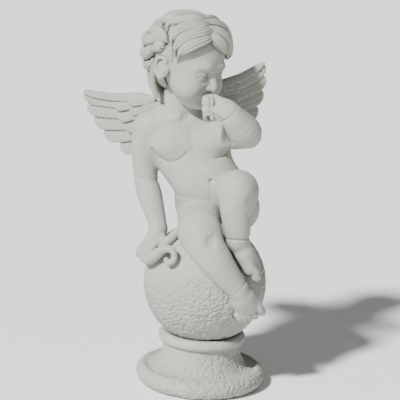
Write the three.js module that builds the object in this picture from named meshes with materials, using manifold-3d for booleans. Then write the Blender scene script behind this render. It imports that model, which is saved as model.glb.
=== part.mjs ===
// A winged putto seated on a ball, cast in one piece, and the turned round foot that carries the ball.
// The body leans to its right, the head looks down and to its left, the left hand brings a small ribbed
// bunch to the mouth, and the right hand rests on the ball over a bow with a scrolled tip.
// Millimetres, +Z up. The origin is the centre of the foot's underside, and -Y is the figure's front.
import * as THREE from "three";
import { mergeVertices } from "three/addons/utils/BufferGeometryUtils.js";
import Module from "manifold-3d";

const wasm = await Module();
wasm.setup();

// ---- Driving dimensions ----
const BALL_RADIUS = 130;
const BALL_CENTRE_Z = 220;
const BALL_SIDES = 24;
const BALL_BANDS = 16; // from pole to pole
const DISH_BANDS = 3; // those of them that the foot's dish takes in
const SEAT_GAP = 0.3; // between the ball and its dish in the foot
const RING_RADIUS = 118; // lower ring of the foot, to the centre of its round
const RING_TUBE = 21;
const COLLAR_RADIUS = 81; // upper ring of the foot
const COLLAR_TUBE = 12;
const COLLAR_Z = 102;
const NECK_RADIUS = 82; // the narrowest part, just under the collar
const HEAD_CENTRE = [-57, -14, 697];
const HEAD_YAW = 50; // degrees, towards the figure's left
const HEAD_NOD = 15; // degrees, forwards
const SKULL = [64, 74, 70]; // half sizes: across, front to back, up
const SKULL_CENTRE = [0, 0, 6];
const HAIR_THICKNESS = 14;
const SMALLEST_EDGE = 3.5; // shorter edges are collapsed where solids join
const STONE = { color: 0xd3d2c9, roughness: 0.85, metalness: 0 };

// ---- Shaping tools ----
const vec = (p) => new THREE.Vector3(p[0], p[1], p[2]);
const degrees = THREE.MathUtils.degToRad;
const mix = (a, b, t) => a.map((value, i) => value + (b[i] - value) * t);

// A closed geometry as a solid, turned the right way out if its profile ran backwards.
function solidOf(geometry) {
  const bare = new THREE.BufferGeometry();
  bare.setAttribute("position", geometry.getAttribute("position"));
  bare.setIndex(geometry.index);
  const merged = mergeVertices(bare, 1e-3);
  const triVerts = new Uint32Array(merged.index.array);
  const vertProperties = merged.attributes.position.array;
  const data = { numProp: 3, vertProperties, triVerts, tolerance: SMALLEST_EDGE };
  const made = new wasm.Manifold(new wasm.Mesh(data));
  if (made.volume() > 0) return made;
  for (let i = 0; i < triVerts.length; i += 3)
    [triVerts[i + 1], triVerts[i + 2]] = [triVerts[i + 2], triVerts[i + 1]];
  return new wasm.Manifold(new wasm.Mesh(data));
}

// Everything joined into one body. A shell of negative volume is a pocket that the pieces close in between
// them, which a casting fills, so it is left out.
function fuse(solids) {
  const joined = solids.flat(Infinity).reduce((whole, piece) => whole.add(piece));
  return joined.decompose().find((shell) => shell.volume() > 1);
}

function meshOf(name, solid, look) {
  const data = solid.getMesh();
  const geometry = new THREE.BufferGeometry();
  geometry.setAttribute("position", new THREE.BufferAttribute(data.vertProperties, 3));
  geometry.setIndex(new THREE.BufferAttribute(data.triVerts, 1));
  geometry.computeVertexNormals();
  const mesh = new THREE.Mesh(geometry, new THREE.MeshStandardMaterial(look));
  mesh.name = name;
  return mesh;
}

// An ellipsoid of half sizes radii; place, if given, is the frame that its centre and axes are in.
function ball(centre, radii, { wide = 9, high = 6, place = null } = {}) {
  const geometry = new THREE.SphereGeometry(1, wide, high);
  geometry.rotateX(Math.PI / 2);
  geometry.scale(radii[0], radii[1], radii[2]);
  geometry.translate(centre[0], centre[1], centre[2]);
  if (place) geometry.applyMatrix4(place);
  return solidOf(geometry);
}

// A rounded limb along a smooth path. Each station is [x, y, z, half width, half depth]; the half width
// lies along side, and the half depth across it. Both ends are closed by round caps of cap rings.
function limb(stations, { sides = 9, steps = 6, cap = 2, side = [1, 0, 0], place = null } = {}) {
  const path = new THREE.CatmullRomCurve3(stations.map(vec), false, "centripetal");
  const size = stations.map((s) => [s[3], s[4] ?? s[3]]);
  const last = stations.length - 1;
  const profile = [];
  for (let i = 0; i < cap; i += 1) {
    const angle = (Math.PI / 2) * (i / cap);
    profile.push(new THREE.Vector2(Math.sin(angle), -Math.cos(angle)));
  }
  for (let i = 0; i <= steps; i += 1) profile.push(new THREE.Vector2(1, i / steps));
  for (let i = cap - 1; i >= 0; i -= 1) {
    const angle = (Math.PI / 2) * (i / cap);
    profile.push(new THREE.Vector2(Math.sin(angle), 1 + Math.cos(angle)));
  }
  const geometry = new THREE.LatheGeometry(profile, sides);
  const at = geometry.getAttribute("position");
  for (let i = 0; i < at.count; i += 1) {
    const along = THREE.MathUtils.clamp(at.getY(i), 0, 1);
    const beyond = at.getY(i) - along;
    const before = Math.min(Math.floor(along * last), last - 1);
    const [wide, deep] = mix(size[before], size[before + 1], along * last - before);
    const centre = path.getPoint(along);
    const forward = path.getTangent(along);
    const across = vec(side).addScaledVector(forward, -vec(side).dot(forward)).normalize();
    const through = new THREE.Vector3().crossVectors(forward, across);
    centre.addScaledVector(across, at.getX(i) * wide);
    centre.addScaledVector(through, at.getZ(i) * deep);
    centre.addScaledVector(forward, beyond * Math.min(wide, deep));
    at.setXYZ(i, centre.x, centre.y, centre.z);
  }
  if (place) geometry.applyMatrix4(place);
  return solidOf(geometry);
}

// ---- Foot: a fat ring, a scotia that narrows to the collar, and a dish for the ball ----
function roundFoot() {
  const outline = [new THREE.Vector2(0, 0)];
  const arc = (radius, height, tube, from, to, count) => {
    for (let i = 0; i <= count; i += 1) {
      const angle = degrees(from + ((to - from) * i) / count);
      outline.push(new THREE.Vector2(radius + tube * Math.cos(angle), height + tube * Math.sin(angle)));
    }
  };
  arc(RING_RADIUS, RING_TUBE, RING_TUBE, -90, 90, 5);
  const scotiaFoot = RING_TUBE * 2 - 3;
  const scotiaTop = COLLAR_Z - COLLAR_TUBE - 1;
  outline.push(new THREE.Vector2(RING_RADIUS - 5, scotiaFoot - 2));
  const wide = RING_RADIUS - 8;
  for (let i = 0; i <= 4; i += 1) {
    const angle = degrees(90 * (i / 4));
    const radius = wide - (wide - NECK_RADIUS) * Math.sin(angle);
    outline.push(new THREE.Vector2(radius, scotiaTop - (scotiaTop - scotiaFoot) * Math.cos(angle)));
  }
  arc(COLLAR_RADIUS, COLLAR_Z, COLLAR_TUBE, -70, 90, 5);
  const dish = BALL_RADIUS + SEAT_GAP;
  for (let i = DISH_BANDS; i >= 0; i -= 1) {
    const angle = (Math.PI * i) / BALL_BANDS;
    outline.push(new THREE.Vector2(dish * Math.sin(angle), BALL_CENTRE_Z - dish * Math.cos(angle)));
  }
  const geometry = new THREE.LatheGeometry(outline, BALL_SIDES);
  geometry.rotateX(Math.PI / 2);
  return solidOf(geometry);
}

function globe() {
  return ball([0, 0, BALL_CENTRE_Z], [BALL_RADIUS, BALL_RADIUS, BALL_RADIUS], { wide: BALL_SIDES, high: BALL_BANDS });
}

// ---- Body ----
function torso() {
  const spine = [
    [0, 28, 345, 58, 52],
    [0, 22, 380, 73, 62],
    [-4, 8, 425, 71, 62],
    [-20, 6, 465, 76, 58],
    [-37, 8, 512, 79, 52],
    [-54, 12, 550, 62, 42],
    [-70, 14, 578, 36, 32],
  ];
  return [
    limb(spine, { sides: 12, steps: 7 }),
    limb([[-74, 14, 568, 38], [-72, 4, 604, 35], [-66, -4, 640, 35]], { sides: 9, steps: 2 }), // neck
    limb([[-128, 14, 542, 33], [-70, 16, 562, 34], [6, 10, 548, 32]], { sides: 8, steps: 3, side: [0, 0, 1] }),
    ball([-4, -12, 434], [60, 49, 60]), // belly
    ball([-82, -4, 514], [46, 34, 38]), // chest, right and left
    ball([0, -5, 526], [42, 32, 36]),
    ball([-28, 44, 374], [42, 44, 42], { wide: 8, high: 6 }), // seat, right and left
    ball([36, 44, 376], [44, 44, 42], { wide: 8, high: 6 }),
  ];
}

function legs() {
  return [
    limb([[-20, 20, 374, 52], [-17, -45, 362, 50], [-17, -98, 351, 47]], { steps: 4 }),
    limb([[-16, -104, 352, 45], [-6, -124, 330, 41], [14, -135, 303, 37], [44, -130, 268, 29],
      [65, -119, 243, 23]], { steps: 6 }),
    limb([[36, 24, 388, 54], [50, -40, 420, 50], [56, -98, 440, 43]], { steps: 4 }),
    limb([[56, -108, 432, 40], [54, -110, 400, 31], [58, -107, 368, 28], [61, -103, 343, 24]], { steps: 4 }),
    ball([74, -82, 404], [28, 30, 42]), // thigh and calf pressed together
  ];
}

function arms() {
  return [
    limb([[-132, 12, 540, 36], [-138, 14, 490, 28], [-134, 14, 436, 24], [-124, 4, 398, 25],
      [-109, -12, 358, 20], [-102, -22, 336, 19]]),
    limb([[8, 8, 546, 34], [44, -28, 540, 27], [74, -64, 547, 24]], { steps: 4 }),
    limb([[74, -70, 550, 26], [62, -88, 562, 33], [42, -104, 586, 27], [30, -110, 600, 21]], { steps: 5 }),
  ];
}

// A foot from heel to toes: up is the way its upper face looks, and bigToe is +1 or -1 along its width.
function foot({ heel, toes, up, bigToe }) {
  const forward = vec(toes).sub(vec(heel)).normalize();
  const across = new THREE.Vector3().crossVectors(forward, vec(up)).normalize();
  const rise = new THREE.Vector3().crossVectors(across, forward);
  const at = (share, aside, lift) => {
    const point = vec(mix(heel, toes, share)).addScaledVector(across, aside);
    return point.addScaledVector(rise, lift).toArray();
  };
  const side = across.toArray();
  const sole = limb(
    [[...at(-0.1, 0, 0), 21, 21], [...at(0.45, 0, 1), 23, 18], [...at(1, 0, -1), 27, 12]],
    { side, steps: 3 },
  );
  const TOES = [[19, 10, 20], [6, 7.5, 21], [-4, 7, 18], [-13, 6.5, 14], [-21, 6, 9]];
  return [sole, TOES.map(([aside, radius, reach]) => {
    const root = vec(at(0.95, aside * bigToe, 0));
    const tip = root.clone().addScaledVector(forward, reach);
    return limb([[...root.toArray(), radius], [...tip.toArray(), radius]], { sides: 5, steps: 1, cap: 1, side });
  })];
}

function feet() {
  return [
    foot({ heel: [66, -117, 238], toes: [94, -92, 193], up: [0.5, -0.8, -0.1], bigToe: 1 }),
    foot({ heel: [62, -101, 332], toes: [86, -88, 292], up: [0.85, -0.2, 0.5], bigToe: -1 }),
  ];
}

function rightHand() {
  const fingers = [0, 1, 2, 3].map((i) => limb([
    [-112 - i * 4, -48 + i * 12, 304 + i, 8.5],
    [-127 - i * 3, -52 + i * 12, 292 + i, 8],
    [-133 - i, -50 + i * 11, 276 + i * 2, 6.5],
  ], { sides: 5, steps: 2 }));
  return [
    limb([[-102, -22, 338, 18, 16], [-108, -28, 318, 23, 16], [-116, -32, 302, 25, 13]], { steps: 3 }),
    fingers,
    limb([[-97, -38, 322, 9], [-93, -58, 308, 8], [-97, -70, 300, 7]], { sides: 6, steps: 2 }),
  ];
}

function leftHand() {
  const fingers = [0, 1, 2].map((i) => limb([
    [14 + i * 3, -116, 604 - i * 9, 8.5], [3 + i * 3, -110, 600 - i * 9, 8], [2 + i * 3, -98, 597 - i * 8, 7],
  ], { sides: 6, steps: 2 }));
  return [
    limb([[34, -108, 602, 20, 17], [22, -108, 606, 22, 18], [12, -103, 608, 19, 15]], { steps: 2 }),
    limb([[14, -100, 619, 9], [0, -94, 625, 8.5], [-12, -86, 624, 7.5]], { sides: 6, steps: 2 }),
    fingers,
  ];
}

// The small ribbed bunch at the mouth: upright ribs of unlike length round a core.
function ribbedBunch() {
  const RIBS = 6;
  return Array.from({ length: RIBS }, (_, i) => {
    const angle = (2 * Math.PI * i) / RIBS;
    const x = -12 + 9 * Math.cos(angle);
    const y = -100 + 8 * Math.sin(angle);
    const drop = 8 * Math.cos(angle * 2 + 1);
    return limb([[x, y, 620, 7], [x + 1, y, 604, 7], [x + 3, y, 590 - drop, 5.5]], { sides: 5, steps: 2, cap: 1 });
  });
}

function bow() {
  return [
    limb([[-124, -54, 268, 12], [-112, -66, 276, 14], [-97, -82, 292, 13], [-80, -92, 303, 9],
      [-68, -98, 304, 8], [-60, -102, 292, 7.5], [-63, -104, 277, 7], [-75, -102, 277, 6.5]],
    { sides: 7, steps: 14 }),
    limb([[-112, -52, 300, 10], [-88, -56, 318, 11], [-66, -46, 338, 9], [-50, -30, 348, 8]],
      { sides: 7, steps: 4 }),
  ];
}

// ---- Wings: feathers fanned in a plane of their own, x outwards and z upwards from the root ----
function wing({ root, outward, lift, sweep }) {
  const place = new THREE.Matrix4().makeTranslation(root[0], root[1], root[2]);
  place.multiply(new THREE.Matrix4().makeScale(outward, 1, 1));
  place.multiply(new THREE.Matrix4().makeRotationZ(degrees(sweep)));
  place.multiply(new THREE.Matrix4().makeRotationY(degrees(-lift)));
  const feather = (from, to, layer, width) => {
    const middle = mix(from, to, 0.55);
    const sag = 0.07 * Math.hypot(to[0] - from[0], to[1] - from[1]);
    return limb([
      [from[0], layer, from[1], width * 0.8, 5],
      [middle[0], layer, middle[1] - sag, width, 5],
      [to[0], layer + 2, to[1], width * 0.7, 3.5],
    ], { sides: 4, steps: 2, cap: 1, side: [to[1] - from[1], 0, from[0] - to[0]], place });
  };
  const FLIGHT = [ // where each long feather starts and ends
    [[60, 40], [158, 46]], [[58, 32], [150, 22]], [[52, 26], [132, -6]], [[44, 18], [110, -34]],
    [[32, 8], [84, -58]], [[20, -2], [56, -76]], [[8, -14], [30, -76]],
  ];
  const COVERT = [[[54, 40], [112, 26]], [[44, 28], [94, -6]], [[28, 12], [64, -34]]];
  return [
    limb([[-24, -8, -10, 18, 14], [2, 0, 6, 18, 13], [36, 3, 36, 15, 10], [56, 3, 44, 13, 8],
      [90, 4, 41, 8, 6], [130, 5, 44, 6, 5], [152, 6, 48, 5, 4]],
    { sides: 6, steps: 6, side: [0, 0, 1], place }),
    limb([[2, 2, -24, 44, 6], [46, 3, -4, 46, 6], [84, 4, 12, 36, 5], [122, 5, 26, 20, 4]],
      { sides: 6, steps: 3, side: [0, 0, 1], place }),
    FLIGHT.map(([from, to], i) => feather(from, to, 3 + (i % 2) * 2, 13)),
    COVERT.map(([from, to], i) => feather(from, to, -3 + (i % 2) * 2, 11)),
  ];
}

function wings() {
  return [
    wing({ root: [-116, 60, 558], outward: -1, lift: -2, sweep: 8 }),
    wing({ root: [-28, 60, 572], outward: 1, lift: 21, sweep: 13 }),
  ];
}

// ---- Head, in a frame of its own: x to the figure's right, y forwards, z up ----
function headFrame() {
  const forward = new THREE.Vector3(Math.sin(degrees(HEAD_YAW)), -Math.cos(degrees(HEAD_YAW)), 0);
  const right = new THREE.Vector3().crossVectors(forward, new THREE.Vector3(0, 0, 1));
  const nod = new THREE.Matrix4().makeRotationAxis(right, degrees(-HEAD_NOD));
  forward.applyMatrix4(nod);
  const up = new THREE.Vector3().crossVectors(right, forward);
  return new THREE.Matrix4().makeBasis(right, forward, up).setPosition(vec(HEAD_CENTRE));
}

function face(place) {
  const sided = (centre, radii) => [-1, 1].map((way) =>
    ball([centre[0] * way, centre[1], centre[2]], radii, { place, wide: 7, high: 5 }));
  return [
    ball(SKULL_CENTRE, SKULL, { place, wide: 12, high: 9 }),
    ball([0, 26, -32], [54, 50, 56], { place, wide: 10, high: 8 }), // lower face
    sided([30, 40, -48], [29, 33, 28]), // cheeks
    ball([0, 58, -78], [21, 20, 15], { place, wide: 7, high: 5 }), // chin
    sided([24, 58, -19], [12, 13, 8]), // eyes
    limb([[0, 66, -6, 7], [0, 75, -28, 8], [0, 79, -38, 9]], { place, sides: 6, steps: 2 }), // nose
    ball([0, 72, -56], [15, 9, 4.5], { place, wide: 8, high: 4 }), // lips
    ball([0, 70, -65], [12, 9, 5], { place, wide: 8, high: 4 }),
    sided([67, -2, -26], [9, 15, 23]), // ears
  ];
}

// A point on the hair, by its bearing round the head (0 ahead, 90 to the figure's right) and height angle.
function onHair(bearing, height, lift) {
  const b = degrees(bearing);
  const h = degrees(height);
  const size = SKULL.map((value) => value + HAIR_THICKNESS + lift);
  return [
    SKULL_CENTRE[0] + size[0] * Math.sin(b) * Math.cos(h),
    SKULL_CENTRE[1] - 6 + size[1] * Math.cos(b) * Math.cos(h),
    SKULL_CENTRE[2] + 4 + size[2] * Math.sin(h),
  ];
}

// A lock of hair through points on the head, thickest in its middle and narrow at its end.
function lock(points, width, place) {
  const last = points.length - 1;
  const stations = points.map(([bearing, height, lift = 0], i) => {
    const share = i / last;
    const size = width * (0.7 + 0.5 * Math.sin(Math.PI * share) - 0.4 * share);
    return [...onHair(bearing, height, lift - 5), size, size * 0.8];
  });
  return limb(stations, { place, sides: 5, steps: last, cap: 1 });
}

function hair(place) {
  const cap = ball([0, -14, 13], SKULL.map((value) => value + HAIR_THICKNESS * 0.5), { place, wide: 12, high: 8 });
  const locks = [
    [[[0, 50, -2], [28, 38], [54, 26, 2], [72, 4, 2], [66, -14]], 16], // the wave over the right temple
    [[[-4, 52, -2], [-34, 40, 4], [-56, 22, 6], [-62, -2, 4]], 16], // and over the left
    [[[2, 66], [40, 58], [74, 44], [92, 22]], 15],
    [[[-4, 68], [-48, 54, 4], [-76, 32, 6], [-84, 4, 5], [-80, -22]], 17],
  ];
  const CROWN = 4; // locks that fall back from the parting
  for (let i = 0; i < CROWN; i += 1) {
    const bearing = 70 + (220 * i) / (CROWN - 1);
    locks.push([[[bearing * 0.9, 80], [bearing, 62], [bearing + 8, 42], [bearing, 24]], 16]);
  }
  const MIDDLE = 5; // curls from ear to ear round the back
  for (let i = 0; i < MIDDLE; i += 1) {
    const bearing = 92 + (176 * i) / (MIDDLE - 1);
    locks.push([[[bearing - 8, 34], [bearing + 9, 16, 3], [bearing + 3, -2, 5], [bearing - 11, -12, 2]], 18]);
  }
  const NAPE = 4; // the lowest row
  for (let i = 0; i < NAPE; i += 1) {
    const bearing = 108 + (144 * i) / (NAPE - 1);
    locks.push([[[bearing + 6, -4], [bearing - 6, -22, 3], [bearing - 2, -38, 2], [bearing + 8, -52]], 15]);
  }
  return [cap, locks.map(([points, width]) => lock(points, width, place))];
}

// ---- The object ----
const inHead = headFrame();
const figure = fuse([
  globe(), torso(), legs(), arms(), feet(), rightHand(), leftHand(), ribbedBunch(), bow(), wings(),
  face(inHead), hair(inHead),
]);

const putto = new THREE.Group();
putto.add(meshOf("putto_on_ball", figure, STONE));
putto.add(meshOf("round_foot", roundFoot(), STONE));

export default putto;
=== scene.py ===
"""A cast-stone putto on a chiselled ball and a turned round foot, built piece by piece.

Lengths inside the carving code are millimetres in the statue's own frame: +Z up, -Y to the figure's front, and
+X to the figure's left. Finished meshes are in metres.
"""

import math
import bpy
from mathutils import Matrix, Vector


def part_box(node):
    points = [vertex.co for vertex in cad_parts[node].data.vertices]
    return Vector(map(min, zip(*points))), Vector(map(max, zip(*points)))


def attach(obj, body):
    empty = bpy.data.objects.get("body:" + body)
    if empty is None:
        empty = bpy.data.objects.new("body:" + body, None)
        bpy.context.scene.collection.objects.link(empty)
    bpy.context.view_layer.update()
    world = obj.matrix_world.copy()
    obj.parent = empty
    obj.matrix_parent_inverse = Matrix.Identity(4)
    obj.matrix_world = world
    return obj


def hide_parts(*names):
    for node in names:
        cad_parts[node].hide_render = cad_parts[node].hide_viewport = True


bl_info = {
    "name": "Garden putto",
    "version": (1, 0, 0),
    "blender": (4, 5, 0),
    "location": "View3D > Sidebar > Putto",
    "description": "Builds a cast-stone winged child seated on a ball, piece by piece",
    "category": "Add Mesh",
}

from collections import namedtuple

import bmesh
import bpy
import numpy as np
import openvdb
from mathutils import Matrix, Vector

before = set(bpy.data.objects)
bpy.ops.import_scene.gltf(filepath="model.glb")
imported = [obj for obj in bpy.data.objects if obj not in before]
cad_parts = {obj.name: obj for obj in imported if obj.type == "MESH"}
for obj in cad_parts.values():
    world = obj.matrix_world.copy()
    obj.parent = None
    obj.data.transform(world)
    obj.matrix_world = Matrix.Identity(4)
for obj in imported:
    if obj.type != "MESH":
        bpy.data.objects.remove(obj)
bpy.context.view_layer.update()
FIGURE_NODE = "putto_on_ball"
FOOT_NODE = "round_foot"
BODY = "root"
MM = 0.001
FAR = 30.0  # millimetres; distances in the block are kept no larger than this
TAU = 2 * math.pi

FOOT_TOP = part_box(FOOT_NODE)[1].z / MM
FOOT_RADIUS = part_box(FOOT_NODE)[1].x / MM
BALL_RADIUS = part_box(FIGURE_NODE)[1].x / MM
BALL_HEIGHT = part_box(FIGURE_NODE)[0].z / MM + BALL_RADIUS


# ---------------------------------------------------------------- settings

class PuttoSettings(bpy.types.PropertyGroup):
    """Sizes and colours that a user would change."""

    carving_step: bpy.props.FloatProperty(
        name="Carving step", description="Spacing of the grid that the figure is carved in",
        default=1.25 * MM, min=0.5 * MM, max=5 * MM, precision=5, unit="LENGTH")
    figure_faces: bpy.props.IntProperty(
        name="Figure faces", description="Triangles left on the figure once it is thinned",
        default=194000, min=10000, max=199000)
    ball_radius: bpy.props.FloatProperty(
        name="Ball radius", description="Radius of the ball under the figure",
        default=BALL_RADIUS * MM, min=0.01, unit="LENGTH")
    ball_height: bpy.props.FloatProperty(
        name="Ball height", description="Height of the ball's centre over the ground",
        default=BALL_HEIGHT * MM, min=0.0, unit="LENGTH")
    peck_depth: bpy.props.FloatProperty(
        name="Chisel depth", description="Depth of the chisel marks on the ball and the foot",
        default=3.6 * MM, min=0.0, max=5 * MM, precision=4, unit="LENGTH")
    peck_size: bpy.props.FloatProperty(
        name="Chisel mark size", description="Width of one chisel mark",
        default=5.6 * MM, min=1 * MM, precision=4, unit="LENGTH")
    barbs: bpy.props.IntProperty(
        name="Barbs", description="Barbs cut along each side of a feather", default=13, min=2, max=40)
    stone: bpy.props.FloatVectorProperty(
        name="Stone", description="Colour of the clean stone", subtype="COLOR", size=3,
        min=0, max=1, default=(0.39, 0.383, 0.343))
    weathered: bpy.props.FloatVectorProperty(
        name="Weathered stone", description="Colour of the greyer, weathered patches", subtype="COLOR",
        size=3, min=0, max=1, default=(0.33, 0.326, 0.295))
    # Dark colour with two uses: painted shade in the hollows and creases of marked pieces, and faint grime stains on
    # the feathers.
    shade_and_grime: bpy.props.FloatVectorProperty(
        name="Grime", description="Colour of the dirt in hollows and creases", subtype="COLOR",
        size=3, min=0, max=1, default=(0.075, 0.07, 0.055))


# ---------------------------------------------------------------- the block of stone

Shape = namedtuple("Shape", "low high distance")


class Block:
    """Distances to the carved surface, negative inside, on a regular grid."""

    def __init__(self, low, high, step):
        self.low = np.array(low, float)
        self.step = step
        self.axes = [np.arange(low[i], high[i] + step, step, dtype=np.float32) for i in range(3)]
        self.field = np.full([len(a) for a in self.axes], FAR, np.float32)

    def window(self, low, high):
        spans = []
        for i in range(3):
            first = int((low[i] - self.low[i]) // self.step)
            last = int((high[i] - self.low[i]) // self.step) + 2
            spans.append(slice(max(0, first), max(0, min(len(self.axes[i]), last))))
        spans = tuple(spans)
        return spans, np.ix_(*(axis[span] for axis, span in zip(self.axes, spans)))

    def apply(self, shape, margin, change):
        low = np.array(shape.low) - margin
        high = np.array(shape.high) + margin
        spans, points = self.window(low, high)
        here = self.field[spans]
        if here.size:
            self.field[spans] = change(here, shape.distance(*points))

    def add(self, shape, blend=0.0):
        """Joins a shape on, with a fillet of about blend."""
        self.apply(shape, blend + 4 * self.step, lambda old, new: smooth_least(old, new, blend))

    def cut(self, shape, blend=0.0):
        """Cuts a shape out, with its edge rounded by about blend."""
        self.apply(shape, blend + 4 * self.step, lambda old, new: -smooth_least(-old, new, blend))

    def raise_by(self, shape, height, width):
        """Raises the surface near a shape by up to height, or lowers it where height is negative."""
        reach = 3 * width
        self.apply(shape, reach, lambda old, new: old - height * np.exp(-(np.maximum(new, 0) / width) ** 2))

    def value(self, points):
        """Distances at points, in between the grid's own."""
        place = (points - self.low) / self.step
        corner = np.clip(np.floor(place).astype(int), 0, np.array(self.field.shape) - 2)
        share = np.clip(place - corner, 0, 1)
        total = np.zeros(len(points))
        for i in (0, 1):
            for j in (0, 1):
                for k in (0, 1):
                    weight = np.abs(1 - i - share[:, 0]) * np.abs(1 - j - share[:,
                        1]) * np.abs(1 - k - share[:, 2])
                    total += weight * self.field[corner[:, 0] + i, corner[:, 1] + j, corner[:, 2] + k]
        return total


def smooth_least(a, b, blend):
    if blend <= 0:
        return np.minimum(a, b)
    near = np.maximum(blend - np.abs(a - b), 0) / blend
    return np.minimum(a, b) - near * near * (blend / 4)


def curve_through(points, per_span=4):
    """A smooth run of points through the given ones, whatever numbers each of them holds."""
    points = np.array(points, float)
    padded = np.vstack([2 * points[0] - points[1], points, 2 * points[-1] - points[-2]])
    run = []
    for i in range(len(points) - 1):
        p0, p1, p2, p3 = padded[i:i + 4]
        for t in np.arange(per_span) / per_span:
            run.append(0.5 * (2 * p1 + (p2 - p0) * t + (2 * p0 - 5 * p1 + 4 * p2 - p3) * t * t
                              + (3 * p1 - p0 - 3 * p2 + p3) * t ** 3))
    run.append(points[-1])
    return np.array(run)


def ellipsoid(centre, radii, turn=None):
    """An ellipsoid of half sizes radii; turn's columns are its axes."""
    centre = np.array(centre, float)
    a, b, c = (float(r) for r in radii)
    reach = np.array(radii, float) if turn is None else np.full(3, max(radii), float)

    def distance(x, y, z):
        x, y, z = x - centre[0], y - centre[1], z - centre[2]
        if turn is not None:
            x, y, z = (turn[0][i] * x + turn[1][i] * y + turn[2][i] * z for i in range(3))
        size = np.sqrt((x / a) ** 2 + (y / b) ** 2 + (z / c) ** 2)
        slope = np.sqrt((x / a ** 2) ** 2 + (y / b ** 2) ** 2 + (z / c ** 2) ** 2)
        return np.where(slope > 1e-9, size * (size - 1) / np.maximum(slope, 1e-9), -min(a, b, c))

    return Shape(centre - reach, centre + reach, distance)


def limb(stations, per_span=4, flat=None):
    """A round limb through [x, y, z, radius] stations. flat, a direction and a factor, thins it that way."""
    run = curve_through(stations, per_span)
    low = (run[:, :3] - run[:, 3:]).min(0)
    high = (run[:, :3] + run[:, 3:]).max(0)

    def distance(x, y, z):
        best = None
        for start, end in zip(run, run[1:]):
            along = end[:3] - start[:3]
            length2 = float(along @ along) or 1e-9
            px, py, pz = x - start[0], y - start[1], z - start[2]
            share = np.clip((px * along[0] + py * along[1] + pz * along[2]) / length2, 0, 1)
            px, py, pz = px - share * along[0], py - share * along[1], pz - share * along[2]
            squared = px * px + py * py + pz * pz
            if flat is not None:
                off = px * flat[0][0] + py * flat[0][1] + pz * flat[0][2]
                squared = squared + off * off * (flat[1] ** 2 - 1)
            reach = np.sqrt(squared) - (start[3] + (end[3] - start[3]) * share)
            best = reach if best is None else np.minimum(best, reach)
        return best

    return Shape(low, high, distance)


def upright_loft(sections):
    """A solid of level ellipses: each section is [z, centre x, centre y, half width, half depth]."""
    run = curve_through(sections, 4)
    heights = run[:, 0]
    low = [float((run[:, 1] - run[:, 3]).min()), float((run[:, 2] - run[:, 4]).min()), heights[0]]
    high = [float((run[:, 1] + run[:, 3]).max()), float((run[:, 2] + run[:, 4]).max()), heights[-1]]

    def distance(x, y, z):
        level = z.ravel()
        at_x, at_y, wide, deep = (np.interp(level, heights, run[:, i])[None, None, :] for i in (1, 2, 3, 4))
        u, v = x - at_x, y - at_y
        size = np.sqrt((u / wide) ** 2 + (v / deep) ** 2)
        slope = np.sqrt((u / wide ** 2) ** 2 + (v / deep ** 2) ** 2)
        side = np.where(slope > 1e-9, size * (size - 1) / np.maximum(slope, 1e-9), -wide)
        ends = np.maximum(heights[0] - z, z - heights[-1])
        return np.maximum(side, ends)

    return Shape(low, high, distance)


def curtain(points, front=True):
    """Distance to a line of [x, z] points seen from the front, whatever the depth, on one side of the body."""
    run = curve_through(points, 4)
    low = [run[:, 0].min(), -180 if front else 30, run[:, 1].min()]
    high = [run[:, 0].max(), 30 if front else 110, run[:, 1].max()]

    def distance(x, y, z):
        best = None
        for start, end in zip(run, run[1:]):
            along = end - start
            px, pz = x - start[0], z - start[1]
            share = np.clip((px * along[0] + pz * along[1]) / max(float(along @ along), 1e-9), 0, 1)
            reach = np.sqrt((px - share * along[0]) ** 2 + (pz - share * along[1]) ** 2)
            best = reach if best is None else np.minimum(best, reach)
        return np.broadcast_to(best, np.broadcast_shapes(best.shape, y.shape))

    return Shape(low, high, distance)


def ring(centre, axis, radius):
    """Distance to the plane of a ring, near the limb that the ring goes round."""
    axis = np.array(axis, float) / np.linalg.norm(axis)
    centre = np.array(centre, float)

    def distance(x, y, z):
        x, y, z = x - centre[0], y - centre[1], z - centre[2]
        across = np.abs(x * axis[0] + y * axis[1] + z * axis[2])
        outside = np.maximum(np.sqrt(x * x + y * y + z * z) - radius, 0)
        return across + outside

    return Shape(centre - radius, centre + radius, distance)


class Placed:
    """A frame for a part of the body: turns shapes made in its own axes into the statue's."""

    def __init__(self, centre, axes):
        self.centre = np.array(centre, float)
        self.axes = np.array(axes, float)  # columns: the part's own x, y and z

    def point(self, local):
        return self.centre + self.axes @ np.array(local, float)

    def __call__(self, shape):
        corners = np.array([[(shape.low, shape.high)[i][0], (shape.low, shape.high)[j][1],
                             (shape.low, shape.high)[k][2]] for i in (0, 1) for j in (0, 1) for k in (0, 1)])
        world = self.centre + corners @ self.axes.T
        m, c = self.axes, self.centre

        def distance(x, y, z):
            x, y, z = x - c[0], y - c[1], z - c[2]
            return shape.distance(*(m[0][i] * x + m[1][i] * y + m[2][i] * z for i in range(3)))

        return Shape(world.min(0), world.max(0), distance)


def unit(v):
    return np.array(v, float) / np.linalg.norm(v)


# ---------------------------------------------------------------- body

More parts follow.
